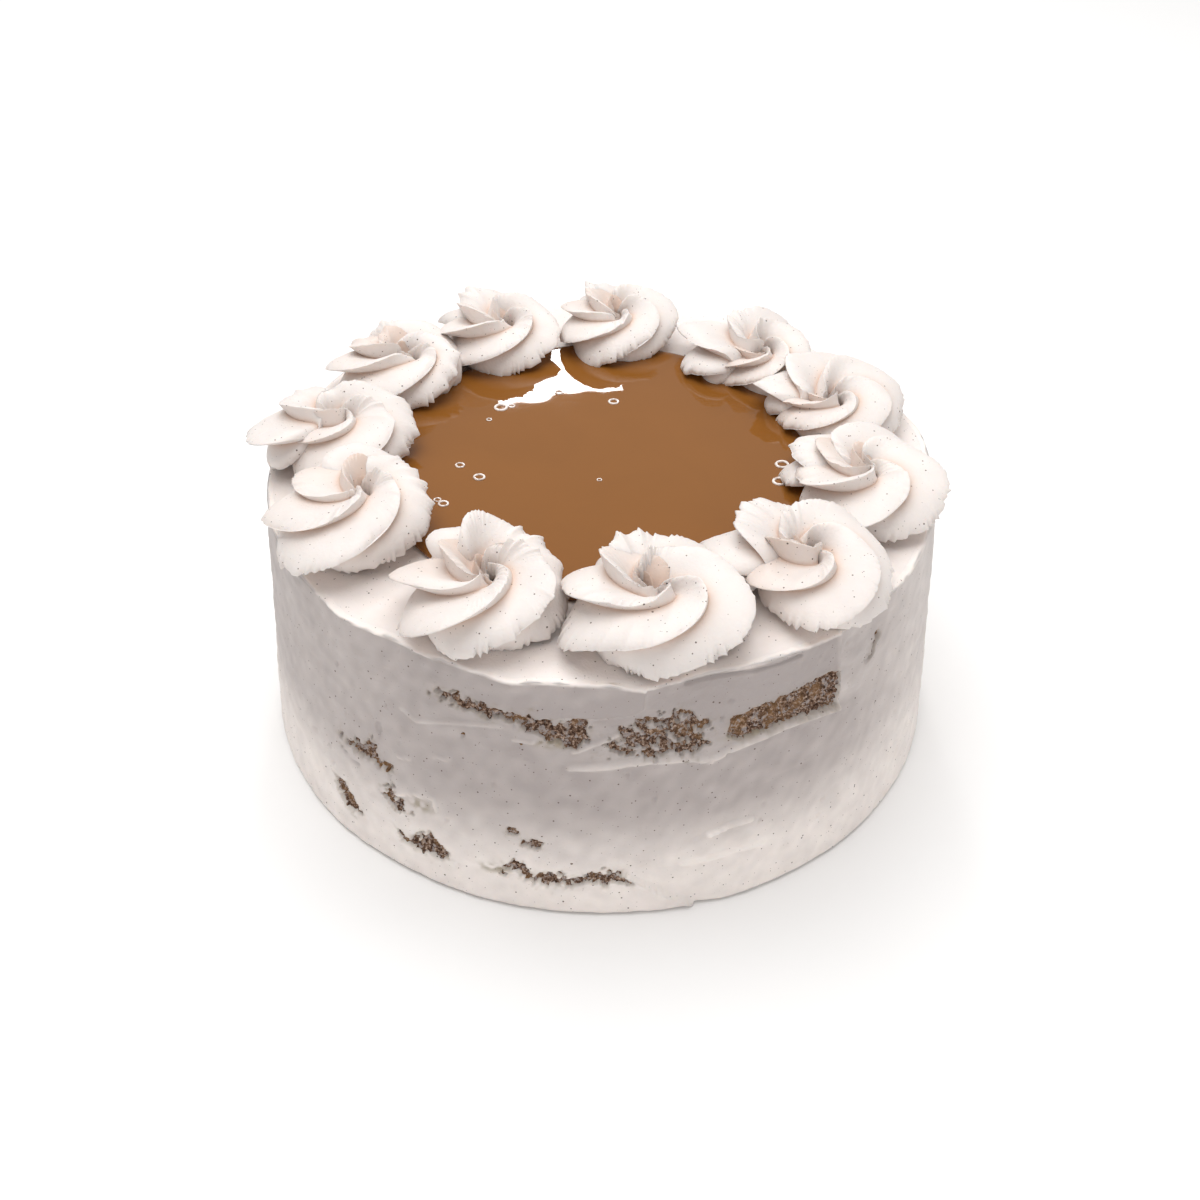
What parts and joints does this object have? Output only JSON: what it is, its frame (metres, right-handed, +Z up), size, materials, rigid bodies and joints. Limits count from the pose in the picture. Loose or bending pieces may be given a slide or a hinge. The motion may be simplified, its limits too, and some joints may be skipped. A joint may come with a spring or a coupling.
{
  "type": "round cream cake",
  "caption": "Round layer-style cake in a thin scraped cream coat, with bare sponge streaks on its side, a level caramel pool on top and a ring of piped cream rosettes.",
  "frame": {"origin": "centre of the cake's underside, on the surface it stands on", "axes": "+Z up; -Y is the front seen in the picture, +X is to the viewer's right"},
  "size_m": [0.223, 0.223, 0.1107],
  "materials": {
    "sponge": "open brown crumb, dry and matte, scraped through the cream",
    "coat": "pale mocha cream scraped smooth, satin, with fine dark specks",
    "caramel": "mirror-gloss caramel glaze with a few air bubbles",
    "piped_cream": "pale mocha cream piped through a star nozzle, satin, with fine dark specks"
  },
  "bodies": {
    "root": {"sponge": "sponge", "cream_coat": "coat", "caramel_glaze": "caramel", "rosette_01": "piped_cream", "rosette_02": "piped_cream", "rosette_03": "piped_cream", "rosette_04": "piped_cream", "rosette_05": "piped_cream", "rosette_06": "piped_cream", "rosette_07": "piped_cream", "rosette_08": "piped_cream", "rosette_09": "piped_cream", "rosette_10": "piped_cream", "rosette_11": "piped_cream"}
  },
  "joints": []
}
